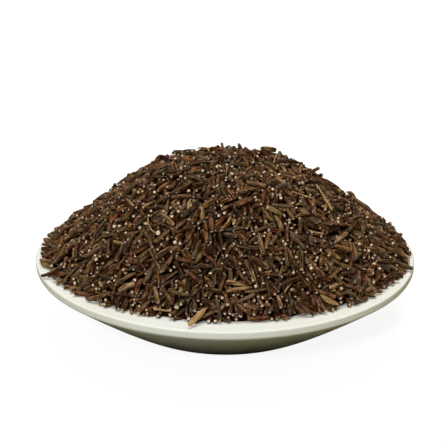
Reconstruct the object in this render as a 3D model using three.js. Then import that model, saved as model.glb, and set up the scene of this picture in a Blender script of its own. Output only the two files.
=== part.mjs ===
// A shallow white glazed dish heaped with bitter cumin seeds.
//
// Millimetres, +Z up. The origin is the middle of the dish's foot, on the surface that the dish
// stands on, and the front, from which the heap shows more of the rim, is the -Y side. Azimuths
// are measured from the front towards +X.

import * as THREE from 'three';
import { mergeVertices } from 'three/addons/utils/BufferGeometryUtils.js';

// Dish: outside
const RIM_RADIUS = 52;
const RIM_HEIGHT = 18.3;
const LIP_FACE = 2.3; // height of the upright outer face of the lip
const LIP_OVERHANG = 0.6; // how far that face stands out from the belly below it
const LIP_ROUND = 0.7; // radius of the lip's upper edge
const FOOT_RADIUS = 26.6;
const BELLY_POWER = 0.88; // under 1, so that the belly swells out a little from a straight cone
const FOOT_RING_WIDTH = 3.2;
const FOOT_RECESS = 1.2;
const FOOT_EDGE = 0.4; // bevel at the outside of the foot ring

// Dish: inside
const FLANGE_WIDTH = 8; // the gently sloping band of rim inside the lip
const FLANGE_DROP = 0.9; // how much lower the band is at its inner edge
const FLOOR_RADIUS = 23;
const FLOOR_HEIGHT = 4.6;
const WALL_POWER = 1.15; // over 1, so that the inner wall turns up softly from the floor

// Heap: its outline
const HEAP_GAP = 0.35; // between the seeds and the glaze
const EDGE_SIDE = 50.5; // how far the seeds reach at the sides and the back
const EDGE_FRONT = 45; // and at the front, where they stop short of the lip
const HEAP_REACH = 0.975; // share of the way to that edge at which the solid ends
const HEAP_TOP = 45.6; // height of the flattened summit
const CAP_DROP = 6; // how much lower the summit's own slope would lie at the edge
const FLANK_TOP = 61; // where the straight flank would meet the axis
const FLANK_FOOT = 18.7; // and where it meets the edge
const SHOULDER = 1.5; // how softly the summit turns into the flank

// Seeds that show, a few side by side in each cell of the heap's surface
const CELL = 6; // length and width of a cell
const STRAIGHT = { count: 3, length: 5, pitch: 1.75 }; // seeds along or across the slope
const SLANTED = { count: 2, length: 4.3, pitch: 2.2 }; // seeds from corner to corner of the cell
const LENGTH_SPREAD = 0.06; // share by which the length varies either way
const BUTT_WIDTH = 1.5; // at the blunt end
const TIP_WIDTH = 1.15; // at the narrower end
const RIDGE_SHARE = 0.5; // width of the flat along a seed's top, as a share of its width
const END_SLOPE = 0.25; // how far a seed's end leans in
const TURN_SPREAD = 0.1; // radians by which the seeds stray from their cell's direction
const TOP_DEPTH = 0.25; // how far a seed's top lies under the outline, on average
const TOP_DEPTH_SPREAD = 0.3;
const LEAN = 0.35; // how much deeper or higher either end of a seed may lie
const VALLEY_DEPTH = 1.35; // how far the gaps between seeds lie under the outline
const SUMMIT_CELLS = 2; // the summit is a square of this many cells a side
const RANDOM_SEED = 20417;

// Fineness
const DISH_SEGMENTS = 72;
const BELLY_STEPS = 7;
const WALL_STEPS = 6;
const RING_PITCH = 5.5; // between the corners of the ring that parts two rows of cells
const RING_CORNERS = 24; // and the fewest corners that such a ring has

const WHITE_GLAZE = new THREE.MeshStandardMaterial({
  color: 0xebe7db,
  roughness: 0.22,
  metalness: 0,
});
const SEED_BROWN = new THREE.MeshStandardMaterial({
  color: 0x4a3524,
  roughness: 0.78,
  metalness: 0,
  flatShading: true,
});

/** Repeatable random numbers from 0 to 1 (a 32-bit mixing generator). */
function randomSource(seed) {
  let state = seed;
  return () => {
    state = (state + 0x6d2b79f5) | 0;
    let mixed = Math.imul(state ^ (state >>> 15), 1 | state);
    mixed = (mixed + Math.imul(mixed ^ (mixed >>> 7), 61 | mixed)) ^ mixed;
    return ((mixed ^ (mixed >>> 14)) >>> 0) / 4294967296;
  };
}

// ---------------------------------------------------------------- dish

const LIP_FOOT = RIM_HEIGHT - LIP_FACE;
const BELLY_RADIUS = RIM_RADIUS - LIP_OVERHANG;
const FLANGE_OUTER = RIM_RADIUS - LIP_ROUND;
const FLANGE_INNER = FLANGE_OUTER - FLANGE_WIDTH;

/** Height of the dish's upper surface at a radius: floor, curved wall, then the sloping band. */
function insideHeight(radius) {
  const bandFoot = RIM_HEIGHT - FLANGE_DROP;
  if (radius >= FLANGE_INNER) {
    return bandFoot + (FLANGE_DROP * (radius - FLANGE_INNER)) / FLANGE_WIDTH;
  }
  const along = Math.max(radius - FLOOR_RADIUS, 0) / (FLANGE_INNER - FLOOR_RADIUS);
  return FLOOR_HEIGHT + (bandFoot - FLOOR_HEIGHT) * along ** WALL_POWER;
}

/** Outside of the dish from the middle of its recessed foot, up the belly and over the lip. */
function dishOutside() {
  const ringInner = FOOT_RADIUS - FOOT_RING_WIDTH;
  const foot = [
    [0, FOOT_RECESS],
    [ringInner - FOOT_RECESS, FOOT_RECESS],
    [ringInner, 0],
    [FOOT_RADIUS - FOOT_EDGE, 0],
  ];
  const belly = [];
  for (let step = 0; step <= BELLY_STEPS; step += 1) {
    const height = FOOT_EDGE + ((LIP_FOOT - FOOT_EDGE) * step) / BELLY_STEPS;
    const share = (height / LIP_FOOT) ** BELLY_POWER;
    belly.push([FOOT_RADIUS + (BELLY_RADIUS - FOOT_RADIUS) * share, height]);
  }
  const lip = [[RIM_RADIUS, LIP_FOOT + LIP_OVERHANG / 2]];
  for (const turn of [0, Math.PI / 4, Math.PI / 2]) {
    lip.push([
      FLANGE_OUTER + LIP_ROUND * Math.cos(turn),
      RIM_HEIGHT - LIP_ROUND + LIP_ROUND * Math.sin(turn),
    ]);
  }
  return [...foot, ...belly, ...lip];
}

/** Inside of the dish from the band down the wall to the middle of the floor. */
function dishInside() {
  const wall = [];
  for (let step = WALL_STEPS; step >= 0; step -= 1) {
    const radius = FLOOR_RADIUS + ((FLANGE_INNER - FLOOR_RADIUS) * step) / WALL_STEPS;
    wall.push([radius, insideHeight(radius)]);
  }
  return [...wall, [0, FLOOR_HEIGHT]];
}

function makeDish() {
  const profile = [...dishOutside(), ...dishInside()];
  const points = profile.map(([radius, height]) => new THREE.Vector2(radius, height));
  const turned = new THREE.LatheGeometry(points, DISH_SEGMENTS).rotateX(Math.PI / 2);
  const mesh = new THREE.Mesh(turned, WHITE_GLAZE);
  mesh.name = 'bowl';
  return mesh;
}

// ---------------------------------------------------------------- outline of the heap

/** Radius at which the seeds end, by azimuth: drawn in at the front, full at the sides and back. */
function seedEdge(azimuth) {
  const forward = Math.max(Math.cos(azimuth), 0);
  return EDGE_SIDE - (EDGE_SIDE - EDGE_FRONT) * forward ** 2;
}

/** Height of the heap's outline a given share of the way out: the lower of summit and flank. */
function heapHeight(share) {
  const summit = HEAP_TOP - CAP_DROP * share;
  const flank = FLANK_TOP - (FLANK_TOP - FLANK_FOOT) * share;
  return -SHOULDER * Math.log(Math.exp(-summit / SHOULDER) + Math.exp(-flank / SHOULDER));
}

/** Distance along the slope that one whole share would cover, where the seeds end at this radius. */
function slopeLength(share, edge) {
  const step = 0.01;
  const fall = (heapHeight(share) - heapHeight(share + step)) / step;
  return Math.hypot(edge, fall);
}

/** Point on the heap's outline, or some depth under it. */
function heapPoint(share, azimuth, depth) {
  const radius = share * seedEdge(azimuth);
  return new THREE.Vector3(
    radius * Math.sin(azimuth),
    -radius * Math.cos(azimuth),
    heapHeight(share) - depth,
  );
}

/** Ring of corners in the gaps between seeds, all the same share of the way out. */
function gapRing(share) {
  const around = 2 * Math.PI * share * EDGE_SIDE;
  const count = Math.max(Math.round(around / RING_PITCH), RING_CORNERS);
  return Array.from({ length: count }, (_, i) =>
    heapPoint(share, (2 * Math.PI * i) / count, VALLEY_DEPTH),
  );
}

// ---------------------------------------------------------------- seeds in cells

/** Cells of the summit, a square of them; each turns its own flat measure into a point. */
function summitCells() {
  const cells = [];
  for (let row = 0; row < SUMMIT_CELLS; row += 1) {
    for (let column = 0; column < SUMMIT_CELLS; column += 1) {
      const x = (column - (SUMMIT_CELLS - 1) / 2) * CELL;
      const y = (row - (SUMMIT_CELLS - 1) / 2) * CELL;
      cells.push((along, beside, depth) => {
        const azimuth = Math.atan2(x + along, -(y + beside));
        const radius = Math.hypot(x + along, y + beside);
        return heapPoint(radius / seedEdge(azimuth), azimuth, depth);
      });
    }
  }
  return cells;
}

/** Cells of one row round the heap, between two shares of the way out. */
function rowCells(inner, outer) {
  const middle = (inner + outer) / 2;
  const count = Math.floor((2 * Math.PI * middle * EDGE_FRONT) / CELL);
  return Array.from({ length: count }, (_, i) => {
    const azimuth = (2 * Math.PI * i) / count;
    const edge = seedEdge(azimuth);
    const slope = slopeLength(middle, edge);
    return (along, beside, depth) =>
      heapPoint(middle + along / slope, azimuth + beside / (middle * edge), depth);
  });
}

/** One seed in a cell: its foot in the gap round it, and its narrower top, each four corners. */
function seedCorners(cell, heading, offset, length, random) {
  const turnedPlace = (along, beside, depth) =>
    cell(
      along * Math.cos(heading) - (beside + offset) * Math.sin(heading),
      along * Math.sin(heading) + (beside + offset) * Math.cos(heading),
      depth,
    );
  const depth = TOP_DEPTH + TOP_DEPTH_SPREAD * (2 * random() - 1);
  const lean = LEAN * (2 * random() - 1);
  const corners = [
    [-1, -1],
    [1, -1],
    [1, 1],
    [-1, 1],
  ];
  const foot = corners.map(([end, side]) => {
    const width = end > 0 ? BUTT_WIDTH : TIP_WIDTH;
    return turnedPlace((end * length) / 2, (side * width) / 2, VALLEY_DEPTH);
  });
  const top = corners.map(([end, side]) => {
    const width = (end > 0 ? BUTT_WIDTH : TIP_WIDTH) * RIDGE_SHARE;
    const reach = end * (length / 2 - END_SLOPE);
    return turnedPlace(reach, (side * width) / 2, depth + end * lean);
  });
  return { foot, top };
}

/** The seeds of a cell, side by side in one of four directions and each either way round. */
function cellSeeds(cell, random) {
  const eighth = Math.floor(random() * 4);
  const { count, length, pitch } = eighth % 2 === 0 ? STRAIGHT : SLANTED;
  const heading = (eighth * Math.PI) / 4 + TURN_SPREAD * (2 * random() - 1);
  return Array.from({ length: count }, (_, i) => {
    const offset = (i - (count - 1) / 2) * pitch;
    const ownLength = length * (1 + LENGTH_SPREAD * (2 * random() - 1));
    return random() < 0.5
      ? seedCorners(cell, heading, offset, ownLength, random)
      : seedCorners(cell, heading + Math.PI, -offset, ownLength, random);
  });
}

/** The ten triangles of a seed above its foot. */
function seedFaces({ foot, top }) {
  const faces = [
    [top[0], top[1], top[2]],
    [top[0], top[2], top[3]],
  ];
  for (let i = 0; i < foot.length; i += 1) {
    const next = (i + 1) % foot.length;
    faces.push([foot[i], foot[next], top[next]], [foot[i], top[next], top[i]]);
  }
  return faces;
}

/** The surface of the gaps: what lies inside the outer loop and outside every hole, seen from above. */
function gapFaces(outerLoop, holes) {
  const flat = (loop) => loop.map((point) => new THREE.Vector2(point.x, point.y));
  const points = [...outerLoop, ...holes.flat()];
  return THREE.ShapeUtils.triangulateShape(flat(outerLoop), holes.map(flat)).map((face) => {
    const [a, b, c] = face.map((index) => points[index]);
    const anticlockwise = (b.x - a.x) * (c.y - a.y) > (b.y - a.y) * (c.x - a.x);
    return anticlockwise ? [a, b, c] : [a, c, b];
  });
}

// ---------------------------------------------------------------- heap as one solid

/** Shares of the way out at which one row of cells ends and the next begins. */
function rowShares() {
  const first = (SUMMIT_CELLS * CELL * Math.SQRT1_2) / EDGE_FRONT;
  const shares = [first];
  for (let next = first; next <= HEAP_REACH; next += CELL / slopeLength(next, EDGE_FRONT)) {
    shares.push(next);
  }
  shares.shift();
  const stretch = (HEAP_REACH - first) / (shares.at(-1) - first);
  return shares.map((share) => first + (share - first) * stretch);
}

/** The uneven upper surface: the summit's seeds, then row after row of them, and the gaps. */
function upperFaces(shares, random) {
  const faces = [];
  shares.forEach((share, row) => {
    const cells = row === 0 ? summitCells() : rowCells(shares[row - 1], share);
    const seeds = cells.flatMap((cell) => cellSeeds(cell, random));
    const holes = seeds.map((seed) => seed.foot);
    if (row > 0) {
      holes.push(gapRing(shares[row - 1]));
    }
    faces.push(...seeds.flatMap(seedFaces), ...gapFaces(gapRing(share), holes));
  });
  return faces;
}

/** The side and the underside, which keep the gap to the dish: rings from the edge to the axis. */
function lowerFaces(edge) {
  const wallRadii = dishInside().map(([radius]) => radius);
  const onDish = (point, radius) => {
    const scale = radius / Math.hypot(point.x, point.y);
    return new THREE.Vector3(point.x * scale, point.y * scale, insideHeight(radius) + HEAP_GAP);
  };
  const foot = edge.map((point) => onDish(point, Math.hypot(point.x, point.y)));
  const rings = [edge, foot, ...wallRadii.map((radius) => edge.map((point) => onDish(point, radius)))];
  const faces = [];
  for (let ring = 1; ring < rings.length; ring += 1) {
    const [upper, lower] = [rings[ring - 1], rings[ring]];
    for (let i = 0; i < edge.length; i += 1) {
      const next = (i + 1) % edge.length;
      faces.push([upper[i], lower[i], lower[next]], [upper[i], lower[next], upper[next]]);
    }
  }
  return faces;
}

function makeHeap() {
  const shares = rowShares();
  const upper = upperFaces(shares, randomSource(RANDOM_SEED));
  const lower = lowerFaces(gapRing(shares.at(-1)));
  const corners = [...upper, ...lower].flat();
  const geometry = mergeVertices(new THREE.BufferGeometry().setFromPoints(corners));
  geometry.computeVertexNormals();
  const mesh = new THREE.Mesh(geometry, SEED_BROWN);
  mesh.name = 'seeds_heap';
  return mesh;
}

const bowlOfSeeds = new THREE.Group();
bowlOfSeeds.name = 'bowl_of_seeds';
bowlOfSeeds.add(makeDish(), makeHeap());

export default bowlOfSeeds;
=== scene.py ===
"""A shallow white glazed dish heaped with bitter cumin seeds. Lengths are in metres, +Z is up.

The heap is a dark core under about three layers of whole seeds; the core's dark is painted shade
for the seeds deeper down. The seeds are laid as rods that push one another apart under the heap's
outline and above the glaze, so that they rest against each other and their ends stand out at every angle.
"""

import logging
import math
from dataclasses import dataclass, field, fields
from enum import Enum
from typing import Any

import bpy
import numpy as np
from mathutils import Matrix, Vector


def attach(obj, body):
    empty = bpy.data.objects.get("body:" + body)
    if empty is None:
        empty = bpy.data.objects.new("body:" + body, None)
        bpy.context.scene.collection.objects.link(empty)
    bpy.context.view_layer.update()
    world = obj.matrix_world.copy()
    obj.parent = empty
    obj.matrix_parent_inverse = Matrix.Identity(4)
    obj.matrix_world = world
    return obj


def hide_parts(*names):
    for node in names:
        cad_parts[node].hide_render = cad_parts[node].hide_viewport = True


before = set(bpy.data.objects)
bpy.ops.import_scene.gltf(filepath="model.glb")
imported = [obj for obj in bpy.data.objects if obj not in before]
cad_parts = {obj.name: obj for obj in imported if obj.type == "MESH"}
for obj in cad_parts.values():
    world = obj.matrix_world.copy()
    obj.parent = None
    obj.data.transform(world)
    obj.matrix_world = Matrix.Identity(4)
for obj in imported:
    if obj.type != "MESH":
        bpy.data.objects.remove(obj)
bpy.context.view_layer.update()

Triple = tuple[float, float, float]
Pair = tuple[float, float]
Array = np.ndarray
Values = dict[int | str, Any]
Socket = bpy.types.NodeSocket
Material = bpy.types.Material
Piece = bpy.types.Object

MM = 0.001
UP = np.array([0.0, 0.0, 1.0])
log = logging.getLogger("seed_bowl")


# ---------------- shader building


class Shade:
    """A number in a node tree that takes arithmetic, also with plain numbers."""

    def __init__(self, board: "Board", socket: Socket) -> None:
        """Wraps a socket of the board's node tree."""
        self.board = board
        self.socket = socket

    def maths(self, operation: str, *values: "Shade | float") -> "Shade":
        """One Math node on the given values."""
        return self.board.number("Math", {"operation": operation}, dict(enumerate(values)))

    def __add__(self, other: "Shade | float") -> "Shade":
        """Sum."""
        return self.maths("ADD", self, other)

    def __sub__(self, other: "Shade | float") -> "Shade":
        """Difference."""
        return self.maths("SUBTRACT", self, other)

    def __rsub__(self, other: float) -> "Shade":
        """Difference with the number first."""
        return self.maths("SUBTRACT", other, self)

    def __mul__(self, other: "Shade | float") -> "Shade":
        """Product."""
        return self.maths("MULTIPLY", self, other)

    # A sum or a product is the same with the number first.
    __radd__ = __add__
    __rmul__ = __mul__

    def cosine(self) -> "Shade":
        """Cosine of the value in radians."""
        return self.maths("COSINE", self)

    def rise(self, low: float, high: float) -> "Shade":
        """A smooth step from 0 at low to 1 at high."""
        inputs = {"Value": self, "From Min": low, "From Max": high}
        return self.board.number("MapRange", {"interpolation_type": "SMOOTHSTEP"}, inputs, "Result")

    def sharpen(self, reach: float) -> "Shade":
        """A smooth step from 0 to 1 over the values that lie within a reach of a half."""
        return self.rise(0.5 - reach, 0.5 + reach)


class Board:
    """The node tree of a material or the world, with a short way to add nodes to it."""

    def __init__(self, name: str, family: str = "materials") -> None:
        """Makes a material, or a world in the family worlds, and empties its nodes.

        Args:
            name: Its name.
            family: Where Blender keeps it.
        """
        self.owner = getattr(bpy.data, family).new(name)
        self.owner.use_nodes = True
        self.tree = self.owner.node_tree
        self.tree.nodes.clear()

    def node(self, kind: str, settings: Values | None = None,
             inputs: Values | None = None) -> bpy.types.Node:
        """Adds a node, sets it and feeds its sockets.

        Args:
            kind: Node type without the ShaderNode prefix.
            settings: Properties, which are set before the sockets.
            inputs: Socket names or numbers with a value, a socket or a Shade each.

        Returns:
            The new node.
        """
        made = self.tree.nodes.new("ShaderNode" + kind)
        for key, value in (settings or {}).items():
            setattr(made, key, value)
        for key, value in (inputs or {}).items():
            if isinstance(value, Shade):
                value = value.socket
            if isinstance(value, Socket):
                self.tree.links.new(value, made.inputs[key])
            elif isinstance(value, tuple) and len(value) == 3 and made.inputs[key].type == "RGBA":
                made.inputs[key].default_value = (*value, 1.0)
            else:
                made.inputs[key].default_value = value
        return made

    def number(self, kind: str, settings: Values | None = None, inputs: Values | None = None,
               output: int | str = 0) -> Shade:
        """The number that comes out of a new node at one of its outputs."""
        return Shade(self, self.node(kind, settings, inputs).outputs[output])

    def place(self) -> Socket:
        """The point on the object, in metres."""
        return self.node("TexCoord").outputs["Object"]

    def parts(self, vector: Socket) -> list[Shade]:
        """The three numbers of a vector."""
        return [Shade(self, out) for out in self.node("SeparateXYZ", inputs={0: vector}).outputs]

    def chart(self, name: str) -> Socket:
        """A UV map of the piece."""
        return self.node("UVMap", {"uv_map": name}).outputs[0]

    def stretch(self, vector: Socket, factors: Triple, shift: Socket | Triple = (0.0, 0.0, 0.0)) -> Socket:
        """A vector times factors, plus a shift."""
        inputs = {0: vector, 1: factors, 2: shift}
        return self.node("VectorMath", {"operation": "MULTIPLY_ADD"}, inputs).outputs[0]

    def noise(self, vector: Socket, scale: float, detail: float = 2.0) -> Shade:
        """Smooth noise from 0 to 1, mostly near a half, with scale cells for each unit."""
        return self.number("TexNoise", inputs={"Vector": vector, "Scale": scale, "Detail": detail})

    def mix(self, share: Shade | float, first: Socket | Triple, second: Socket | Triple) -> Socket:
        """The first colour where the share is 0, the second where it is 1, and between them blends."""
        return self.node("Mix", {"data_type": "RGBA"}, {0: share, 6: first, 7: second}).outputs[2]

    def scale_colour(self, colour: Socket, factor: Shade) -> Socket:
        """A colour made lighter or darker by a factor."""
        return self.node("VectorMath", {"operation": "SCALE"}, {0: colour, 3: factor}).outputs[0]

    def bump(self, height: Shade, strength: float, distance: float, under: Socket | None = None) -> Socket:
        """A bumped normal, over another one if that is given. The distance is the full relief's height."""
        inputs = {"Height": height, "Strength": strength, "Distance": distance}
        return self.node("Bump", inputs=inputs | ({"Normal": under} if under else {})).outputs[0]

    def close(self, inputs: Values) -> Material:
        """Ends the material in a Principled shader that is fed those values, and returns it."""
        self.node("OutputMaterial", inputs={0: self.node("BsdfPrincipled", inputs=inputs).outputs[0]})
        return self.owner


# ---------------- finishes


@dataclass(frozen=True)
class GlazeFinish:
    """Clear glaze over off-white ware, bare and matte where the foot ring stands."""

    body: Triple = (0.752, 0.792, 0.745)
    warm: Triple = (0.735, 0.762, 0.680)
    bare: Triple = (0.62, 0.58, 0.49)
    bare_height: float = 0.5 * MM
    bare_blend: float = 0.3 * MM
    cloud_scale: float = 38.0
    speck_scale: float = 1900.0
    speck_share: float = 0.25
    waver_scale: float = 130.0
    grit_scale: float = 2600.0
    roughness: float = 0.36
    cloud_roughness: float = 0.10
    bare_roughness: float = 0.40

    def material(self) -> Material:
        """Cloudy off-white with fine specks, a slow waver in the gloss and a bare foot ring.

        Returns:
            The material.
        """
        board = Board("dish_glaze")
        place = board.place()
        height = board.parts(place)[2]
        foot = 1.0 - height.rise(self.bare_height, self.bare_height + self.bare_blend)
        cloud = board.noise(place, self.cloud_scale, 3.0)
        speck = board.noise(place, self.speck_scale, 1.0).rise(0.70, 0.76)
        glazed = board.mix(cloud.rise(0.35, 0.72), self.body, self.warm)
        specked = board.mix(speck * self.speck_share, glazed, self.bare)
        roughness = self.roughness + cloud * self.cloud_roughness + foot * self.bare_roughness
        waver = board.bump(board.noise(place, self.waver_scale), 0.10, 0.4 * MM)
        grit = board.bump(board.noise(place, self.grit_scale) * foot, 0.5, 0.15 * MM, waver)
        return board.close({"Base Color": board.mix(foot, specked, self.bare), "Roughness": roughness,
                            "Normal": grit, "IOR": 1.5, "Specular IOR Level": 0.26})


@dataclass(frozen=True)
class SeedFinish:
    """Skin of one kind of seed: ribs and streaks run along it, and its blunt end is pale.

    The share is that of all seeds. The weights say how much each pattern lightens the skin.
    """

    name: str
    share: float
    groove: Triple
    ridge: Triple
    # A dusty grey bloom that also stands in for soft highlights: partly a real film, partly painted sheen.
    bloom: Triple
    pale: Triple = (0.86, 0.69, 0.50)
    ribs: float = 6.0
    streak_stretch: Triple = (5.5, 2.2, 1.0)
    own_shift: Triple = (0.0, 57.0, 31.0)
    blotch_scale: float = 620.0
    patch_scale: float = 1000.0
    grain_scale: float = 2300.0
    tone_weight: float = 0.60
    streak_weight: float = 0.58
    rib_weight: float = 0.44
    blotch_weight: float = 0.30
    grain_weight: float = 0.32
    darkness: float = 0.74
    own_dust: float = 0.45
    patch_dust: float = 0.55
    knob_start: float = 0.994
    hilt_end: float = 0.06
    hilt_share: float = 0.22
    relief: float = 0.12 * MM

    def material(self) -> Material:
        """Skin from groove to ridge, dusted in patches with a grey bloom that is also a painted sheen, with
        a pale knob.

        How light the skin is, is the weighted sum of the seed's own tone, the streaks and ribs along it,
        and the blotches and grain at its place, less the darkness. The ribs' part is the seed's own stripes
        and also painted shade in the rib valleys.

        Returns:
            The material.
        """
        board = Board("seed_" + self.name)
        place, chart = board.place(), board.chart("skin")
        around, along, _ = board.parts(chart)
        kernel = board.node("Attribute", {"attribute_name": "kernel"}).outputs["Color"]
        tone, phase, knob = board.parts(kernel)
        blotch, grain = board.noise(place, self.blotch_scale), board.noise(place, self.grain_scale)
        own_chart = board.stretch(chart, self.streak_stretch, board.stretch(kernel, self.own_shift))
        streak = board.noise(own_chart, 1.0, 3.0)
        # The ribs lighten the skin on their crests and darken it in their valleys, in step with the bump:
        # the seed's own stripes plus painted shade in the valleys.
        rib = ((around + phase) * (2.0 * math.pi * self.ribs)).cosine() * 0.5 + 0.5
        level = (tone * self.tone_weight + streak.sharpen(0.14) * self.streak_weight
                 + rib * self.rib_weight + blotch.sharpen(0.20) * self.blotch_weight
                 + grain.sharpen(0.15) * self.grain_weight - self.darkness)
        patch = board.noise(place, self.patch_scale).sharpen(0.14)
        # Where the bloom lies, in patches and more on some seeds: partly dust, partly painted sheen.
        dust_and_sheen = phase * self.own_dust + patch * self.patch_dust
        lit = board.mix(dust_and_sheen.sharpen(0.3), self.ridge, self.bloom)
        skin = board.mix(level.sharpen(0.6), self.groove, lit)
        pale = (along + streak * 0.004).rise(self.knob_start, 1.0) * knob
        hilt = (1.0 - along.rise(0.0, self.hilt_end)) * self.hilt_share
        colour = board.mix(pale, board.mix(hilt, skin, self.pale), self.pale)
        relief = board.bump(rib * 0.8 + streak * 0.6 + grain * 0.4, 1.0, self.relief)
        return board.close({"Base Color": board.scale_colour(colour, 0.78 + blotch * 0.44),
                            "Roughness": 0.40 + streak * 0.20 + pale * 0.25, "Normal": relief,
                            "IOR": 1.45, "Specular IOR Level": 0.10, "Specular Tint": (1.0, 0.62, 0.40)})


class SeedKind(Enum):
    """The kinds that the seeds come in. Each value is a finish: its share, groove, ridge and bloom, a grey
    film that is also a painted sheen.
    """

    OLIVE = SeedFinish("olive", 0.32, (0.0170, 0.0034, 0.0006), (0.170, 0.120, 0.043),
                       (0.122, 0.098, 0.066))
    UMBER = SeedFinish("umber", 0.27, (0.0215, 0.0038, 0.0006), (0.226, 0.137, 0.052),
                       (0.206, 0.126, 0.086))
    CHESTNUT = SeedFinish("chestnut", 0.24, (0.0310, 0.0054, 0.0009), (0.302, 0.165, 0.056),
                          (0.260, 0.149, 0.082))
    RUSSET = SeedFinish("russet", 0.10, (0.0330, 0.0052, 0.0010), (0.272, 0.124, 0.042),
                        (0.220, 0.108, 0.062))
    STRAW = SeedFinish("straw", 0.07, (0.0680, 0.0225, 0.0034), (0.440, 0.290, 0.122),
                       (0.388, 0.262, 0.142))


@dataclass(frozen=True)
class CoreShadeFinish:
    """The dark between the seeds, which only shows through gaps. Its colours are painted shade: they stand
    for the seeds deeper in the heap, in their own shadow.
    """

    # Both colours are painted shade, near-black so that the gaps between seeds read as deep shadow.
    dark: Triple = (0.009, 0.0016, 0.0003)
    light: Triple = (0.036, 0.011, 0.003)
    mottle_scale: float = 520.0
    bump_scale: float = 700.0

    def material(self) -> Material:
        """Mottled dark brown with bumps the width of a seed.

        Returns:
            The material.
        """
        board = Board("heap_core")
        place = board.place()
        mottle = board.noise(place, self.mottle_scale, 3.0)
        colour = board.mix(mottle.rise(0.45, 0.80), self.dark, self.light)
        relief = board.bump(board.noise(place, self.bump_scale), 0.9, 0.5 * MM)
        return board.close({"Base Color": colour, "Roughness": 0.75 + mottle * 0.2, "Normal": relief,
                            "Specular IOR Level": 0.05})


@dataclass(frozen=True)
class HuskFinish:
    """Thin dry husk and stalk, golden with darker veins."""

    dark: Triple = (0.20, 0.10, 0.03)
    light: Triple = (0.56, 0.36, 0.14)
    vein_stretch: Triple = (9.0, 1.4, 1.0)
    blotch_scale: float = 420.0

    def material(self) -> Material:
        """Veins run along the piece's own length.

        Returns:
            The material.
        """
        board = Board("husk")
        vein = board.noise(board.stretch(board.chart("skin"), self.vein_stretch), 1.0, 3.0)
        blotch = board.noise(board.place(), self.blotch_scale)
        colour = board.mix((vein * 0.7 + blotch * 0.4).rise(0.35, 0.75), self.dark, self.light)
        return board.close({"Base Color": colour, "Roughness": 0.45 + vein * 0.3,
                            "Normal": board.bump(vein, 0.7, 0.08 * MM), "Specular IOR Level": 0.4})


@dataclass(frozen=True)
class FloorFinish:
    """Plain pale sweep under the dish."""

    light: Triple = (0.18, 0.18, 0.18)
    soft: Triple = (0.16, 0.16, 0.16)
    glow: float = 0.91
    cloud_scale: float = 3.0

    def material(self) -> Material:
        """Almost white, with a cloudiness that hardly shows.

        Returns:
            The material.
        """
        board = Board("floor_paint")
        cloud = board.noise(board.place(), self.cloud_scale)
        return board.close({"Base Color": board.mix(cloud, self.light, self.soft),
                            "Roughness": 0.8 + cloud * 0.1, "Specular IOR Level": 0.0,
                            "Emission Color": (1.0, 1.0, 1.0), "Emission Strength": self.glow})


@dataclass(frozen=True)
class BounceFinish:
    """What the underside of the dish sees of the floor, with light and shade painted into it: a painted
    shadow of the dish in the middle and a painted pool of light round it.
    """

    # The dark middle is a painted shadow of the dish and the ring a painted pool of light; together they
    # paint the shade on the dish's underside.
    near: Triple = (0.004, 0.004, 0.003)
    ring: Triple = (0.50, 0.455, 0.26)
    far: Triple = (0.34, 0.32, 0.24)
    spread: Pair = (58.0 * MM, 96.0 * MM)
    fade: Pair = (96.0 * MM, 180.0 * MM)
    waver_scale: float = 5.0
    waver: float = 0.01

    def material(self) -> Material:
        """A painted shadow beneath the dish, a pale warm ring of painted light round it and dimmer further
        out, slowly clouded.

        Returns:
            The material.
        """
        board = Board("floor_bounce")
        place = board.place()
        away = board.number("VectorMath", {"operation": "LENGTH"}, {0: place}, "Value")
        reach = away + board.noise(place, self.waver_scale) * self.waver
        ring = board.mix(reach.rise(*self.spread), self.near, self.ring)
        return board.close({"Base Color": board.mix(reach.rise(*self.fade), ring, self.far),
                            "Roughness": 0.9, "Specular IOR Level": 0.0})


# ---------------- meshes


def unit(vectors: Array) -> Array:
    """Vectors divided by their length."""
    return vectors / np.maximum(np.linalg.norm(vectors, axis=-1, keepdims=True), 1e-12)


def from_axis(points: Array) -> Array:
    """Distances of the points from the axis."""
    return np.hypot(points[..., 0], points[..., 1])


def outward(points: Array) -> Array:
    """Level unit vectors that point from the axis to the points."""
    return unit(points * np.array([1.0, 1.0, 0.0]))


def arc(centre: Pair, radius: float, start: float, end: float, steps: int) -> Array:
    """Points centre + radius x (cos a, sin a) in the section plane, a from start to end in degrees."""
    angle = np.radians(np.linspace(start, end, steps))
    return np.stack([centre[0] + radius * np.cos(angle), centre[1] + radius * np.sin(angle)], -1)


def turned(profile: Array, steps: int) -> Array:
    """Rings of a profile turned about the axis: (r, h) becomes (r cos a, r sin a, h)."""
    turn = np.linspace(0, 2 * math.pi, steps, endpoint=False)
    return np.stack([profile[:, :1] * np.cos(turn), profile[:, :1] * np.sin(turn),
                     np.broadcast_to(profile[:, 1:], (len(profile), steps))], -1)


def ring_quads(rings: int, steps: int) -> Array:
    """Quads that join each point of each ring to the next point and to the next ring.

    Args:
        rings: How many rings there are.
        steps: Points on a ring.

    Returns:
        Point numbers, shape (quads, 4).
    """
    ring, step = np.meshgrid(np.arange(rings - 1) * steps, np.arange(steps), indexing="ij")
    after = (step + 1) % steps
    quads = np.stack([ring + step, ring + after, ring + steps + after, ring + steps + step], -1)
    return quads.reshape(-1, 4)


def link(name: str, data: bpy.types.ID) -> Piece:
    """Puts a new object in the scene, at the origin.

    Args:
        name: Its name.
        data: The mesh, lamp or camera that it holds.

    Returns:
        The object.
    """
    made = bpy.data.objects.new(name, data)
    bpy.context.scene.collection.objects.link(made)
    return made


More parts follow.
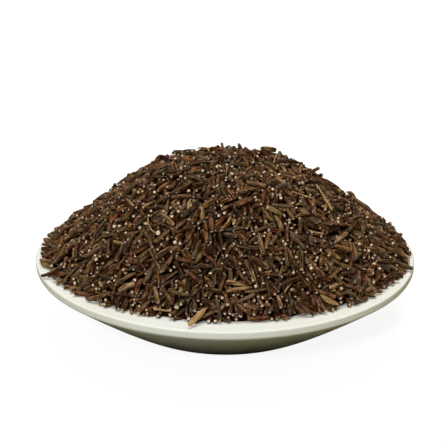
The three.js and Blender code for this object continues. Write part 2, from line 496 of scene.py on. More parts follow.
def mesh_object(name: str, points: Array, faces: list[Array], material: Material,
                smooth: bool = True) -> Piece:
    """Makes a mesh object.

    Args:
        name: Its name.
        points: Its points, shape (points, 3).
        faces: Point numbers, one array for each number of corners.
        material: Its finish.
        smooth: Whether it is shaded smooth.

    Returns:
        The object, at the origin.
    """
    corners = np.concatenate([part.ravel() for part in faces])
    sizes = np.concatenate([np.full(len(part), part.shape[1]) for part in faces])
    mesh = bpy.data.meshes.new(name)
    mesh.vertices.add(len(points))
    mesh.vertices.foreach_set("co", points.astype(np.float32).ravel())
    mesh.loops.add(len(corners))
    mesh.loops.foreach_set("vertex_index", corners.astype(np.int32))
    mesh.polygons.add(len(sizes))
    mesh.polygons.foreach_set("loop_start", (np.cumsum(sizes) - sizes).astype(np.int32))
    mesh.polygons.foreach_set("use_smooth", np.full(len(sizes), smooth))
    mesh.update(calc_edges=True)
    mesh.validate()
    mesh.materials.append(material)
    return link(name, mesh)


def lay_chart(piece: Piece, name: str, places: Array) -> None:
    """Gives a piece a UV map of that name, with one (u, v) for each corner."""
    layer = piece.data.uv_layers.new(name=name)
    layer.data.foreach_set("uv", places.astype(np.float32).ravel())


@dataclass
class Skin:
    """Closed tubes made of rings of points, each tube with a point that closes either end.

    Point (ring, step) of a tube joins its neighbours in both directions, and the steps close on
    themselves. Faces point outwards where the steps turn from X to Y and the rings climb.
    """

    rings: Array
    first: Array
    last: Array

    def points(self) -> Array:
        """All points, tube by tube: its rings, then its first and its last point."""
        body = self.rings.reshape(len(self.rings), -1, 3)
        return np.concatenate([body, self.first[:, None], self.last[:, None]], axis=1).reshape(-1, 3)

    def faces(self) -> list[Array]:
        """Quads between the rings, then the triangles round the first and the last points.

        Returns:
            The point numbers of the quads and of the triangles.
        """
        tubes, rings, steps, _ = self.rings.shape
        own, top = rings * steps + 2, (rings - 1) * steps
        start = (np.arange(tubes) * own)[:, None, None]
        step, after = np.arange(steps), (np.arange(steps) + 1) % steps
        low = np.stack([np.full(steps, own - 2), after, step], axis=-1)
        high = np.stack([np.full(steps, own - 1), top + step, top + after], axis=-1)
        ends = (np.concatenate([low, high])[None] + start).reshape(-1, 3)
        return [(ring_quads(rings, steps)[None] + start).reshape(-1, 4), ends]

    def chart(self, low: float = 0.0, high: float = 1.0) -> Array:
        """Corner places (u round the tube, v along it), in the order of the faces.

        Args:
            low: v of the first ring. The first closing point is at 0.
            high: v of the last ring. The last closing point is at 1.

        Returns:
            One (u, v) for each corner, shape (corners, 2).
        """
        tubes, rings, steps, _ = self.rings.shape
        ring, step = np.meshgrid(np.arange(rings - 1), np.arange(steps), indexing="ij")
        level = low + (high - low) * np.stack([ring, ring, ring + 1, ring + 1], -1) / (rings - 1)
        turn = np.stack([step, step + 1, step + 1, step], -1) / steps
        quads = np.stack([turn, level], -1).reshape(-1, 2)
        step, zero = np.arange(steps), np.zeros(steps)
        here, middle, after = step / steps, (step + 0.5) / steps, (step + 1) / steps
        first = np.stack([middle, zero, after, zero + low, here, zero + low], -1)
        last = np.stack([middle, zero + 1.0, here, zero + high, after, zero + high], -1)
        ends = np.concatenate([first, last]).reshape(-1, 2)
        return np.concatenate([np.tile(quads, (tubes, 1)), np.tile(ends, (tubes, 1))])

    def build(self, name: str, material: Material, slot: str) -> Piece:
        """Makes the object, smooth and with its finish, riding on the root body.

        Args:
            name: The piece's name.
            material: Its finish.
            slot: The record's material slot; it is not used.

        Returns:
            The piece.
        """
        piece = mesh_object(name, self.points(), self.faces(), material)
        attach(piece, "root")
        return piece


# ---------------- the dish


@dataclass(frozen=True)
class Dish:
    """Shallow round dish with a broad, slightly sunken rim band, a square lip and a small foot."""

    rim_radius: float = 52.0 * MM
    rim_height: float = 18.3 * MM
    lip_face: float = 2.3 * MM
    lip_overhang: float = 0.6 * MM
    lip_round: float = 0.45 * MM
    lip_under: float = 0.85 * MM
    belly_power: float = 0.88
    foot_radius: float = 26.6 * MM
    foot_width: float = 3.2 * MM
    foot_recess: float = 1.2 * MM
    foot_edge: float = 0.4 * MM
    recess_edge: float = 0.15 * MM
    hub: float = 2.0 * MM
    band_outer: float = 51.3 * MM
    band_inner: float = 43.3 * MM
    band_drop: float = 0.9 * MM
    floor_radius: float = 23.0 * MM
    floor_height: float = 4.6 * MM
    wall_power: float = 1.15
    segments: int = 256

    def inside(self, radius: Array) -> Array:
        """Height of the glaze that faces up: flat floor, wall rising as a power, then the band.

        Args:
            radius: Distances from the axis.

        Returns:
            Heights, same shape.
        """
        band_foot = self.rim_height - self.band_drop
        share = np.clip((radius - self.floor_radius) / (self.band_inner - self.floor_radius), 0, 1)
        wall = self.floor_height + (band_foot - self.floor_height) * share**self.wall_power
        band = self.band_drop * (radius - self.band_inner) / (self.band_outer - self.band_inner)
        return np.where(radius >= self.band_inner, band_foot + band, wall)

    def section(self) -> Array:
        """Half section from the recess under the foot round the lip to the floor of the inside.

        The belly is foot radius + gain x (height / lip foot) to a power. Corners are arcs.

        Returns:
            Distance from the axis and height of each point.
        """
        lip_foot = self.rim_height - self.lip_face
        gain = self.rim_radius - self.lip_overhang - self.foot_radius
        ring, edge = self.foot_radius - self.foot_width, self.recess_edge
        under = np.stack([np.linspace(self.hub, ring - 4 * edge, 8), np.full(8, self.foot_recess)], -1)
        step = np.array([[ring - edge, self.foot_recess - edge], [ring, self.foot_recess / 2],
                         [ring + edge * 2 / 3, edge * 0.8], [ring + 2 * edge, 0.0]])
        foot = arc((self.foot_radius - self.foot_edge, self.foot_edge), self.foot_edge, -90, -30, 5)
        height = np.linspace(self.foot_edge, lip_foot - edge * 0.8, 34)
        belly = np.stack([self.foot_radius + gain * (height / lip_foot) ** self.belly_power, height], -1)
        small, big = self.lip_under, self.lip_round
        lower = arc((self.rim_radius - small, lip_foot + small), small, -80, 0, 5)
        upper = arc((self.rim_radius - big, self.rim_height - big), big, 0, 90, 9)
        face = np.linspace(lip_foot + small, self.rim_height - big, 6)[1:-1]
        face = np.stack([np.full(len(face), self.rim_radius), face], -1)
        span = np.concatenate([np.linspace(self.band_outer - 2 * edge, self.band_inner, 14),
                               np.linspace(self.band_inner, self.floor_radius, 28)[1:],
                               np.linspace(self.floor_radius, self.hub, 10)[1:]])
        top = np.stack([span, self.inside(span)], -1)
        return np.concatenate([under, step, foot, belly, lower, face, upper, top])

    def build(self) -> Piece:
        """Turns the section round the axis and glazes it.

        Returns:
            The piece.
        """
        low = np.array([[0.0, 0.0, self.foot_recess]])
        high = np.array([[0.0, 0.0, self.floor_height]])
        skin = Skin(turned(self.section(), self.segments)[None], low, high)
        piece = skin.build("dish", GlazeFinish().material(), "glaze")
        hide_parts("bowl")
        return piece


# ---------------- the heap


@dataclass(frozen=True)
class HeapOutline:
    """The heap's outer form: a low summit that breaks into a straight flank down to the band.

    The flank on the right (+X) is a little fuller. A share is how far out a point is: 0 on the
    axis and 1 at the edge.
    """

    edge_side: float = 50.5 * MM
    edge_front: float = 45.0 * MM
    top: float = 45.6 * MM
    cap_drop: float = 6.0 * MM
    flank_top: float = 61.0 * MM
    flank_foot: float = 18.7 * MM
    flank_start: float = 0.42
    flank_slope: float = 0.84
    flank_stretch: float = 1.3
    shoulder: float = 1.5 * MM
    swell: float = 1.7 * MM
    swell_start: float = 0.45
    swell_full: float = 0.88

    def edge(self, azimuth: Array) -> Array:
        """Distance from the axis at which the seeds end: the side's, less a cosine squared at the front."""
        forward = np.maximum(np.cos(azimuth), 0.0)
        return self.edge_side - (self.edge_side - self.edge_front) * forward**2

    def height(self, share: Array) -> Array:
        """Height at each share: the lower of two straight lines, softly joined.

        Args:
            share: Shares of the way to the edge.

        Returns:
            Heights, same shape.
        """
        summit = self.top - self.cap_drop * share
        flank = self.flank_top - (self.flank_top - self.flank_foot) * share
        return -self.shoulder * np.logaddexp(-summit / self.shoulder, -flank / self.shoulder)

    def share(self, points: Array) -> Array:
        """How far points are out towards the edge, seen from above."""
        azimuth = np.arctan2(points[..., 0], -points[..., 1])
        return from_axis(points) / self.edge(azimuth)

    def level(self, points: Array) -> Array:
        """Height of the outline over points: that of their share, plus the swell on the right.

        The swell grows with the cube of the sine of the azimuth and smoothly with the share.

        Args:
            points: Points, of which x and y count.

        Returns:
            One height for each.
        """
        share = np.minimum(self.share(points), 1.02)
        right = np.clip(outward(points)[..., 0], 0, 1) ** 3
        grown = np.clip((share - self.swell_start) / (self.swell_full - self.swell_start), 0, 1)
        return self.height(share) + self.swell * right * grown * grown * (3 - 2 * grown)

    def fall(self, share: Array, edge: Array) -> Array:
        """Slope outwards, from the difference in height over a small step.

        Args:
            share: Shares of the way to the edge.
            edge: Distance of the edge from the axis there.

        Returns:
            Height lost for each metre.
        """
        step = 0.01
        low = np.abs(share - step)
        return (self.height(low) - self.height(share + step)) / ((share + step - low) * edge)

    def upright(self, share: Array) -> Array:
        """How many times its thickness a layer measures straight down: more under the flank."""
        return np.where(share > self.flank_start, self.flank_stretch, 1.0)


class Bit(Enum):
    """What a rod in the heap is."""

    SEED = 0
    STALK = 1
    HUSK = 2


@dataclass
class Rods:
    """Seeds as rods: the middles of their end spheres, their radius, real length and what they are."""

    tip: Array
    butt: Array
    radius: Array
    length: Array
    bit: Array

    def __len__(self) -> int:
        """How many rods there are."""
        return len(self.radius)

    def at(self, number: Array, share: Array) -> Array:
        """Points at a share of the way from tip to butt of some rods."""
        return self.tip[number] + (self.butt[number] - self.tip[number]) * share[:, None]

    def pick(self, chosen: Array) -> "Rods":
        """Some of the rods."""
        return Rods(*(getattr(self, part.name)[chosen] for part in fields(self)))


@dataclass(frozen=True)
class Stray:
    """A bit that the photo shows in a place of its own. Its sizes and places are in millimetres."""

    bit: Bit
    radius: float
    tip: Triple
    butt: Triple


STRAYS: tuple[Stray, ...] = (
    Stray(Bit.HUSK, 0.75, (-4.9, -42.4, 20.4), (-8.9, -49.2, 19.1)),
    Stray(Bit.SEED, 0.50, (-48.6, -18.7, 19.0), (-43.9, -16.8, 20.9)),
    Stray(Bit.SEED, 0.62, (50.3, -12.1, 19.1), (45.4, -10.5, 20.8)),
    Stray(Bit.SEED, 0.55, (21.3, 1.8, 40.3), (25.2, 0.6, 43.1)),
    Stray(Bit.STALK, 0.26, (24.6, -6.0, 40.5), (28.4, -13.0, 36.2)),
)


@dataclass
class SeedBed:
    """Lays the seeds. They start at random in a shell under the outline and are pushed apart.

    Lengths and radii are a mean and a spread, then limits. The middles of a rod's end spheres are
    inset from the seed's ends, above the glaze and under the top by a number of radii. They reach
    past the edge by a share of the radius and one of how proud the seed is.
    """

    outline: HeapOutline
    dish: Dish
    count: int = 3300
    shell: float = 3.4 * MM
    length: Pair = (5.2 * MM, 0.55 * MM)
    length_limits: Pair = (4.0 * MM, 6.5 * MM)
    radius: Pair = (0.60 * MM, 0.09 * MM)
    radius_limits: Pair = (0.42 * MM, 0.84 * MM)
    inset: float = 1.2
    stalks: float = 0.018
    stalk_radius: float = 0.42
    stalk_length: float = 1.15
    husks: float = 0.007
    steepest: float = 1.45
    laid_over: float = 0.10
    ends_out: float = 0.36
    ends_out_from: float = 0.3
    ends_out_spread: float = 0.35
    downhill: float = 0.10
    downhill_from: float = 0.6
    downhill_spread: float = 0.22
    proud_share: float = 0.12
    proud_mm: Pair = (0.0, 0.7)
    sunk_mm: Pair = (-1.2, 0.0)
    rounds: int = 110
    renewal: int = 10
    reach: float = 7.5 * MM
    push: float = 1.3
    crowding: float = 0.35
    lift: float = 0.5
    above_glaze: float = 1.18
    under_top: float = 1.05
    headroom: float = 0.1 * MM
    past_edge: Pair = (0.3, 0.2)
    rng: np.random.Generator = field(default_factory=lambda: np.random.default_rng(20417))

    def scatter(self) -> Rods:
        """Places the seeds at random, evenly over the surface and through the shell's depth.

        Returns:
            The rods as they start.
        """
        rng, outline, many = self.rng, self.outline, self.count * 3
        azimuth, share = rng.random(many) * 2 * math.pi, np.sqrt(rng.random(many))
        edge = outline.edge(azimuth)
        fall = outline.fall(share, edge)
        kept = rng.random(many) < np.hypot(1, fall) / self.steepest * (edge / outline.edge_side) ** 2
        azimuth, share, edge, fall = (part[kept][:self.count] for part in (azimuth, share, edge, fall))
        count = len(azimuth)
        out = np.stack([np.sin(azimuth), -np.cos(azimuth), 0 * azimuth], -1)
        normal = unit(out * fall[:, None] + UP)
        middle = out * (share * edge)[:, None]
        middle[:, 2] = outline.level(middle)
        middle -= normal * (rng.random(count) * self.shell)[:, None]
        way = self.ways(share, out, normal, fall)
        length = np.clip(rng.normal(*self.length, count), *self.length_limits)
        radius = np.clip(rng.normal(*self.radius, count), *self.radius_limits)
        draw = rng.random(count)
        stalk, husk = draw < self.stalks, draw > 1 - self.husks
        radius[stalk] *= self.stalk_radius
        length[stalk] *= self.stalk_length
        bit = np.where(stalk, Bit.STALK.value, np.where(husk, Bit.HUSK.value, Bit.SEED.value))
        half = unit(way) * ((length - self.inset * radius) / 2)[:, None]
        rods = Rods(middle - half, middle + half, radius, length, bit)
        self.set_strays(rods)
        return rods

    def ways(self, share: Array, out: Array, normal: Array, fall: Array) -> Array:
        """Directions: even over the sphere, then laid over a little towards the surface.

        Some point out of the heap instead, and some run straight down its flank.

        Args:
            share: How far out each seed is.
            out: Its level direction away from the axis.
            normal: The outline's normal there.
            fall: The outline's slope there.

        Returns:
            One vector for each seed, of any length.
        """
        rng, count = self.rng, len(share)
        way = unit(rng.normal(size=(count, 3)))
        way -= normal * ((way * normal).sum(1) * self.laid_over)[:, None]
        proud = rng.random(count) < self.ends_out * (share > self.ends_out_from)
        way[proud] = out[proud] + rng.normal(size=(count, 3))[proud] * self.ends_out_spread
        down = (rng.random(count) < self.downhill * (share > self.downhill_from)) & ~proud
        slope = unit(out - UP * fall[:, None])
        way[down] = (slope + rng.normal(size=(count, 3)) * self.downhill_spread)[down]
        return way

    def set_strays(self, rods: Rods) -> None:
        """Puts the strays in place of the first rods.

        Args:
            rods: The rods, which are changed.
        """
        for number, stray in enumerate(STRAYS):
            tip, butt = (tuple(part * MM for part in end) for end in (stray.tip, stray.butt))
            rods.tip[number], rods.butt[number] = tip, butt
            rods.radius[number], rods.bit[number] = stray.radius * MM, stray.bit.value
            rods.length[number] = math.dist(tip, butt) + self.inset * (stray.radius * MM)

    @staticmethod
    def nearest(rods: Rods, one: Array, two: Array) -> tuple[Array, Array]:
        """Where two rods come closest, as a share from tip to butt on each.

        The closest points of two lines solve two linear equations, and each share is held to 0..1.

        Args:
            rods: All the rods.
            one: Number of the first rod of each pair.
            two: Number of the second.

        Returns:
            The share along the first and along the second.
        """
        along_one, along_two = rods.butt[one] - rods.tip[one], rods.butt[two] - rods.tip[two]
        apart = rods.tip[one] - rods.tip[two]
        one_one, two_two = (along_one**2).sum(1), (along_two**2).sum(1)
        cross = (along_one * along_two).sum(1)
        gap_one, gap_two = (along_one * apart).sum(1), (along_two * apart).sum(1)
        area = np.maximum(one_one * two_two - cross**2, 1e-6 * one_one * two_two)
        share_one = np.clip((cross * gap_two - gap_one * two_two) / area, 0, 1)
        share_two = np.clip((cross * share_one + gap_two) / two_two, 0, 1)
        share_one = np.clip((cross * share_two - gap_one) / one_one, 0, 1)
        return share_one, share_two

    def neighbours(self, rods: Rods) -> tuple[Array, Array]:
        """Pairs of rods whose middles are near enough to touch.

        Args:
            rods: All the rods.

        Returns:
            Numbers of the first and of the second rod of each pair.
        """
        middle = ((rods.tip + rods.butt) / 2).astype(np.float32)
        square = (middle**2).sum(1)
        distance = square[:, None] + square[None] - 2 * middle @ middle.T
        return np.nonzero(np.triu(distance < self.reach**2, 1))

    def part(self, rods: Rods, pairs: tuple[Array, Array]) -> None:
        """Moves overlapping rods apart by half their overlap each, split between their two ends.

        Args:
            rods: The rods, which are moved.
            pairs: Numbers of the rods that may touch.
        """
        one, two = pairs
        share_one, share_two = self.nearest(rods, one, two)
        apart = rods.at(one, share_one) - rods.at(two, share_two)
        overlap = rods.radius[one] + rods.radius[two] - np.linalg.norm(apart, axis=1)
        hit = overlap > 0
        one, two, share_one, share_two = one[hit], two[hit], share_one[hit], share_two[hit]
        push = unit(apart[hit]) * overlap[hit][:, None] / 2
        count = len(rods)
        touched = np.bincount(one, minlength=count) + np.bincount(two, minlength=count)
        ease = self.push / np.maximum(1.0, touched * self.crowding)
        for end, first, second in ((rods.tip, 1 - share_one, 1 - share_two),
                                   (rods.butt, share_one, share_two)):
            for axis in range(3):
                end[:, axis] += ease * (np.bincount(one, push[:, axis] * first, count)
                                        - np.bincount(two, push[:, axis] * second, count))

    def confine(self, rods: Rods, proud: Array) -> None:
        """Keeps ends under the outline, above the glaze and within the rim, and middles in the shell.

        Args:
            rods: The rods, which are moved.
            proud: How far each may stand out of the outline.
        """
        outline = self.outline
        clear = self.above_glaze * rods.radius
        for end in (rods.tip, rods.butt):
            out = outward(end)
            slope = outline.flank_slope * (outline.share(end) > outline.flank_start)
            resting = self.dish.inside(from_axis(end)) + clear
            ceiling = np.maximum(outline.level(end) + proud, resting + self.headroom)
            ceiling = np.minimum(ceiling, outline.top - self.under_top * rods.radius)
            over = np.maximum(end[:, 2] - ceiling, 0) / (1 + slope**2)
            end[:, 2] -= over
            end -= out * (over * slope)[:, None]
            edge = outline.edge(np.arctan2(end[:, 0], -end[:, 1]))
            edge = edge + rods.radius * self.past_edge[0] + proud * self.past_edge[1]
            end -= out * np.maximum(from_axis(end) - edge, 0)[:, None]
            floor = self.dish.inside(from_axis(end)) + clear
            end[:, 2] += np.maximum(floor - end[:, 2], 0)
        middle = (rods.tip + rods.butt) / 2
        depth = outline.level(middle) - middle[:, 2]
        rise = np.maximum(depth - self.shell * outline.upright(outline.share(middle)), 0) * self.lift
        rods.tip[:, 2] += rise
        rods.butt[:, 2] += rise

    def settle(self) -> Rods:
        """Scatters the seeds and works them apart, holding each to its length.

        Returns:
            The rods as they lie.
        """
        rods = self.scatter()
        count = len(rods)
        span = rods.length - self.inset * rods.radius
        draw = self.rng.random(count)
        proud = np.where(draw < self.proud_share, self.rng.uniform(*self.proud_mm, count),
                         self.rng.uniform(*self.sunk_mm, count)) * MM
        kept = len(STRAYS)
        stays = rods.tip[:kept].copy(), rods.butt[:kept].copy()
        pairs = self.neighbours(rods)
        for turn in range(self.rounds):
            if (turn + 1) % self.renewal == 0:
                pairs = self.neighbours(rods)
            self.part(rods, pairs)
            self.confine(rods, proud)
            middle, half = (rods.tip + rods.butt) / 2, unit(rods.butt - rods.tip) * span[:, None] / 2
            rods.tip, rods.butt = middle - half, middle + half
            rods.tip[:kept], rods.butt[:kept] = stays
        return rods


@dataclass(frozen=True)
class SeedMaker:
    """Turns rods into seeds: slim rods, narrowed to the tip, cut blunt and pale at the butt.

    Along the seed stand rings at some shares of its length, each with its width in radii.
    """

    steps: int = 8
    along: tuple[float, ...] = (0.0, 0.11, 0.38, 0.74, 0.94, 0.985, 1.0)
    width: tuple[float, ...] = (0.42, 0.74, 0.96, 1.0, 0.92, 0.80, 0.42)
    slimness: Pair = (0.5, 1.35)
    flatness: Pair = (0.82, 1.0)
    ridge: float = 0.07
    bend: float = 0.28 * MM
    point: float = 0.05 * MM
    dome: float = 0.16 * MM
    dome_range: Pair = (0.2, 1.0)
    tip_share: float = 0.06
    butt_share: float = 0.92
    tone: Pair = (0.45, 0.24)
    knobbed: float = 0.93
    knob: Pair = (0.7, 1.0)
    no_knob: float = 0.15

    def shape(self, rods: Rods, rng: np.random.Generator) -> Skin:
        """The seeds' surface.

        At a share t along, the point at turn a is axis(t) + radius x width(t) x (cos a, sin a),
        with every other step a little further out, and axis(t) bends sideways by 1 - (2t - 1) squared.

        Args:
            rods: Where the seeds lie.
            rng: Source of each seed's roll, bend and flatness.

        Returns:
            One closed tube for each seed.
        """
        count = len(rods)
        way = unit(rods.butt - rods.tip)
        spare = np.where(np.abs(way[:, 2:]) < 0.9, UP[None], np.array([[1.0, 0.0, 0.0]]))
        side = unit(np.cross(spare, way))
        over = np.cross(way, side)
        roll = rng.random(count)[:, None] * 2 * math.pi
        side, over = side * np.cos(roll) + over * np.sin(roll), over * np.cos(roll) - side * np.sin(roll)
        share = np.array(self.along)
        bend = rng.normal(0, self.bend, count)[:, None] * (1 - (2 * share - 1) ** 2)
        start = (rods.tip + rods.butt) / 2 - way * rods.length[:, None] / 2
        axis = start[:, None] + way[:, None] * (rods.length[:, None] * share)[..., None]
        axis = axis + side[:, None] * (bend - bend.mean(1, keepdims=True))[..., None]
        turn = np.arange(self.steps) * 2 * math.pi / self.steps
        far = 1 + self.ridge * np.where(np.arange(self.steps) % 2 == 0, 1, -1)
        flat = rng.uniform(*self.flatness, count)[:, None, None]
        slim = rng.uniform(*self.slimness, count)[:, None]
        wide = (rods.radius[:, None] * np.array(self.width) ** slim)[:, :, None]
        across = (wide * (far * np.cos(turn)))[..., None] * side[:, None, None]
        upward = (wide * (far * np.sin(turn)) * flat)[..., None] * over[:, None, None]
        first = axis[:, 0] - way * self.point
        last = axis[:, -1] + way * self.dome * rng.uniform(*self.dome_range, count)[:, None]
        return Skin(axis[:, :, None] + across + upward, first, last)

    @staticmethod
    def atlas(skin: Skin, places: Array) -> Array:
        """Moves each seed's chart to its own cell of a square grid, with a margin round it.

        Args:
            skin: The seeds' surface.
            places: One (u, v) for each corner, all seeds alike, in the order of the faces.

        Returns:
            The same corners, seed by seed in cells.
        """
        tubes, rings, steps, _ = skin.rings.shape
        side = math.ceil(math.sqrt(tubes))
        quad_corners, end_corners = (rings - 1) * steps * 4, steps * 6
        seed = np.concatenate([np.repeat(np.arange(tubes), quad_corners),
                               np.repeat(np.arange(tubes), end_corners)])
        margin = 0.05
        return (np.stack([seed % side, seed // side], -1) + margin + places * (1 - 2 * margin)) / side

    def build(self, name: str, material: Material, rods: Rods, rng: np.random.Generator) -> Piece:
        """Makes all rods of one kind as one piece.

        Args:
            name: The piece's name.
            material: Their finish.
            rods: Where they lie.
            rng: Source of their small differences.

        Returns:
            The piece.
        """
        skin, count = self.shape(rods, rng), len(rods)
        piece = skin.build(name, material, "seed")
        even = skin.chart()
        stations = np.interp(even[:, 1], np.linspace(0, 1, len(self.along)), self.along)
        lay_chart(piece, "skin", np.stack([even[:, 0], stations], -1))
        lay_chart(piece, "OFBake", self.atlas(skin, skin.chart(self.tip_share, self.butt_share)))
        tone = np.clip(rng.normal(*self.tone, count), 0, 1)
        knob = np.where(rng.random(count) < self.knobbed, rng.uniform(*self.knob, count), self.no_knob)
        kernel = np.stack([tone, rng.random(count), knob, np.ones(count)], -1)
        each = len(self.along) * self.steps + 2
        layer = piece.data.attributes.new("kernel", "FLOAT_COLOR", "POINT")
        layer.data.foreach_set("color", np.repeat(kernel, each, axis=0).astype(np.float32).ravel())
        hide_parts("seeds_heap")
        return piece


@dataclass
class Heap:
    """The dark core, the seeds on it and the stray bits among them."""

    dish: Dish
    outline: HeapOutline = HeapOutline()
    core_depth: float = 3.3 * MM
    core_reach: float = 0.95
    core_relief: float = 0.35 * MM
    core_gap: float = 0.3 * MM
    core_rings: int = 46
    core_steps: int = 120
    butts_up: float = 0.6
    butts_in: float = 0.10
    maker: SeedMaker = SeedMaker()
    stalk_maker: SeedMaker = SeedMaker(
        width=(0.75, 1.0, 0.85, 1.0, 0.9, 0.7, 0.5), bend=0.45 * MM, ridge=0.10)
    husk_maker: SeedMaker = SeedMaker(
        width=(0.16, 0.62, 1.05, 0.95, 0.50, 0.25, 0.10), slimness=(0.8, 1.3), flatness=(0.16, 0.28),
        bend=0.55 * MM, ridge=0.0, dome=0.05 * MM)
    rng: np.random.Generator = field(default_factory=lambda: np.random.default_rng(731))

    def core(self) -> Piece:
        """The core's top is the outline less the core's depth, with slow relief; it lies in the dish.

        The relief is a sum of two sine waves across each other, and the underside is the inside
        of the dish plus a hair. The two meet at the core's reach.

        Returns:
            The piece.
        """
        azimuth = np.linspace(0, 2 * math.pi, self.core_steps, endpoint=False)
        share = np.linspace(0.02, self.core_reach, self.core_rings)[:, None]
        radius = share * self.outline.edge(azimuth + math.pi / 2)
        across, away = radius * np.cos(azimuth), radius * np.sin(azimuth)
        relief = self.core_relief * (np.sin(across / (1.1 * MM) + 2.0 * np.sin(away / (2.3 * MM)))
                                     + np.sin(away / (1.3 * MM) + 2.0 * np.sin(across / (1.9 * MM))))
        base = self.dish.inside(radius) + self.core_gap
        level = self.outline.level(np.stack([across, away, 0 * away], -1))
        top = np.maximum(level - self.core_depth * self.outline.upright(share) + relief, base + 0.1 * MM)
        low = np.stack([across, away, base], -1)
        high = np.stack([across, away, top], -1)[::-1]
        first = np.array([[0.0, 0.0, self.dish.floor_height + self.core_gap]])
        last = np.array([[0.0, 0.0, high[-1, :, 2].mean()]])
        skin = Skin(np.concatenate([low, high])[None], first, last)
        piece = skin.build("heap_core", CoreShadeFinish().material(), "seed")
        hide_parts("seeds_heap")
        return piece

    def turn_ends(self, rods: Rods) -> None:
        """Puts most butts, the pale ends, outwards: higher and further from the axis than the tips.

        Args:
            rods: The rods, of which some swap their ends.
        """
        out = outward((rods.tip + rods.butt) / 2) + UP * self.butts_up
        inward = ((rods.butt - rods.tip) * out).sum(1) < 0
        swap = inward ^ (self.rng.random(len(rods)) < self.butts_in)
        rods.tip[swap], rods.butt[swap] = rods.butt[swap].copy(), rods.tip[swap].copy()

    def seeds(self) -> list[Piece]:
        """Lays all the seeds and makes one piece of each kind.

        Returns:
            The kinds' pieces, the stalks and the husks.
        """
        rods = SeedBed(self.outline, self.dish).settle()
        self.turn_ends(rods)
        shares = np.cumsum([kind.value.share for kind in SeedKind])
        draw = np.searchsorted(shares, self.rng.random(len(rods)) * shares[-1])
        whole, stalk, husk = (rods.bit == bit.value for bit in (Bit.SEED, Bit.STALK, Bit.HUSK))
        pieces = [self.maker.build("seeds_" + kind.value.name, kind.value.material(),
                                   rods.pick(whole & (draw == number)), self.rng)
                  for number, kind in enumerate(SeedKind)]
        chaff = HuskFinish().material()
        pieces.append(self.stalk_maker.build("stalks", chaff, rods.pick(stalk), self.rng))
        pieces.append(self.husk_maker.build("husks", chaff, rods.pick(husk), self.rng))
        return pieces


# ---------------- the studio


@dataclass(frozen=True)
class Lamp:
    """A far soft lamp. Azimuth is from the front (-Y) towards +X; angles are in degrees."""

    name: str
    azimuth: float
    elevation: float
    spread: float
    power: float
    colour: Triple = (0.95, 1.0, 1.03)

    def build(self) -> None:
        """Hangs the lamp so that its light falls along its direction."""
        lamp = bpy.data.lights.new(self.name, "SUN")
        lamp.angle, lamp.energy, lamp.color = math.radians(self.spread), self.power, self.colour
        around, rise = math.radians(self.azimuth), math.radians(self.elevation)
        level = math.cos(rise)
        place = Vector((math.sin(around) * level, -math.cos(around) * level, math.sin(rise)))
        holder = link(self.name, lamp)
        holder.location = place
        holder.rotation_euler = (-place).to_track_quat("-Z", "Y").to_euler()


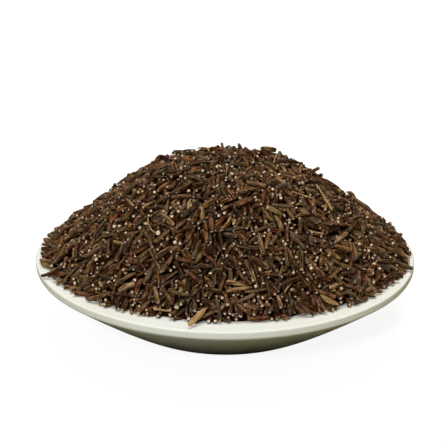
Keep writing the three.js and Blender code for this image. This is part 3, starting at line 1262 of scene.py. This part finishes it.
@dataclass(frozen=True)
class Studio:
    """Pale sweep, two soft lamps, a dim warm sky high up, and the camera. Angles are in degrees."""

    floor_side: float = 6.0
    floor_rings: Pair = (0.05, 0.6)
    sweep_radius: float = 0.8
    sweep_steps: int = 96
    wall_height: float = 3.0
    bounce_height: float = -0.05 * MM
    sky: float = 0.33
    sky_colour: Triple = (1.15, 0.68, 0.38)
    sky_band: Pair = (0.36, 0.72)
    lamps: tuple[Lamp, ...] = (Lamp("lamp_over", 180.0, 64.0, 34.0, 2.32),
                               Lamp("lamp_front", -14.0, 33.5, 8.0, 2.12))
    distance: float = 0.480
    elevation: float = 22.73
    pivot: float = 16.0 * MM
    aim: Triple = (-0.5 * MM, 3.8 * MM, 25.5 * MM)
    focal: float = 139.6
    sensor: float = 36.0
    clip: Pair = (0.02, 30.0)
    roll: float = 0.35

    @staticmethod
    def stand(made: Piece, passing: tuple[str, ...]) -> None:
        """Lets some kinds of ray pass through a mesh of the studio.

        Args:
            made: The mesh object.
            passing: The kinds of ray that pass through it.
        """
        for ray in passing:
            setattr(made, "visible_" + ray, False)

    def sweep(self) -> None:
        """A pale round floor that is seen and curves up into a wall all round.

        The profile is the flat floor, a quarter circle of the sweep's own radius, and the wall.
        """
        half, round_off, steps = self.floor_side / 2, self.sweep_radius, self.sweep_steps
        flat = [[radius, 0.0] for radius in self.floor_rings]
        corner = arc((half - round_off, round_off), round_off, -90, 0, 12)
        profile = np.concatenate([flat, corner, [[half, round_off + self.wall_height]]])
        points = np.concatenate([turned(profile, steps).reshape(-1, 3), [[0.0, 0.0, 0.0]]])
        quads = ring_quads(len(profile), steps)[:, [0, 3, 2, 1]]
        step = np.arange(steps)
        hub = np.stack([np.full(steps, len(points) - 1), step, (step + 1) % steps], -1)
        made = mesh_object("floor", points, [quads, hub], FloorFinish().material(), smooth=False)
        self.stand(made, ("diffuse", "glossy", "shadow"))

    def bounce(self) -> None:
        """A square sheet just under the floor, which only throws light back up."""
        half, low = self.floor_side / 2, self.bounce_height
        points = np.array([[-half, -half, low], [half, -half, low], [half, half, low], [-half, half, low]])
        made = mesh_object("floor_bounce", points, [np.arange(4)[None]], BounceFinish().material(), False)
        self.stand(made, ("camera", "shadow"))

    def light(self) -> None:
        """The lamps, and a sky that is dark round the horizon and warm above it."""
        for lamp in self.lamps:
            lamp.build()
        board = Board("sky", "worlds")
        height = board.parts(board.node("TexCoord").outputs["Generated"])[2]
        strength = height.rise(*self.sky_band) * self.sky
        glow = board.node("Background", inputs={"Color": self.sky_colour, "Strength": strength})
        board.node("OutputWorld", inputs={"Surface": glow.outputs[0]})
        bpy.context.scene.world = board.owner

    def camera(self) -> None:
        """Stands in front of the heap at the photograph's angle, with a small roll."""
        lens = bpy.data.cameras.new("camera")
        lens.lens, lens.sensor_width = self.focal, self.sensor
        lens.clip_start, lens.clip_end = self.clip
        rise = math.radians(self.elevation)
        place = Vector((0, -self.distance * math.cos(rise), self.pivot + self.distance * math.sin(rise)))
        turn = (Vector(self.aim) - place).to_track_quat("-Z", "Y").to_matrix().to_4x4()
        holder = link("camera", lens)
        roll = Matrix.Rotation(math.radians(self.roll), 4, "Z")
        holder.matrix_world = Matrix.Translation(place) @ turn @ roll
        bpy.context.scene.camera = holder

    def build(self) -> None:
        """Makes the floor, the light and the camera, and keeps colours as they are measured."""
        self.sweep()
        self.bounce()
        self.light()
        self.camera()
        bpy.context.scene.view_settings.view_transform = "Standard"


def main() -> None:
    """Builds the dish, the heap and the studio, and reports each piece."""
    logging.basicConfig(level=logging.INFO, format="%(name)s: %(message)s")
    dish = Dish()
    heap = Heap(dish)
    pieces = [dish.build(), heap.core(), *heap.seeds()]
    Studio().build()
    for piece in pieces:
        log.info("%s: %d faces", piece.name, len(piece.data.polygons))


if __name__ == "__main__":
    main()
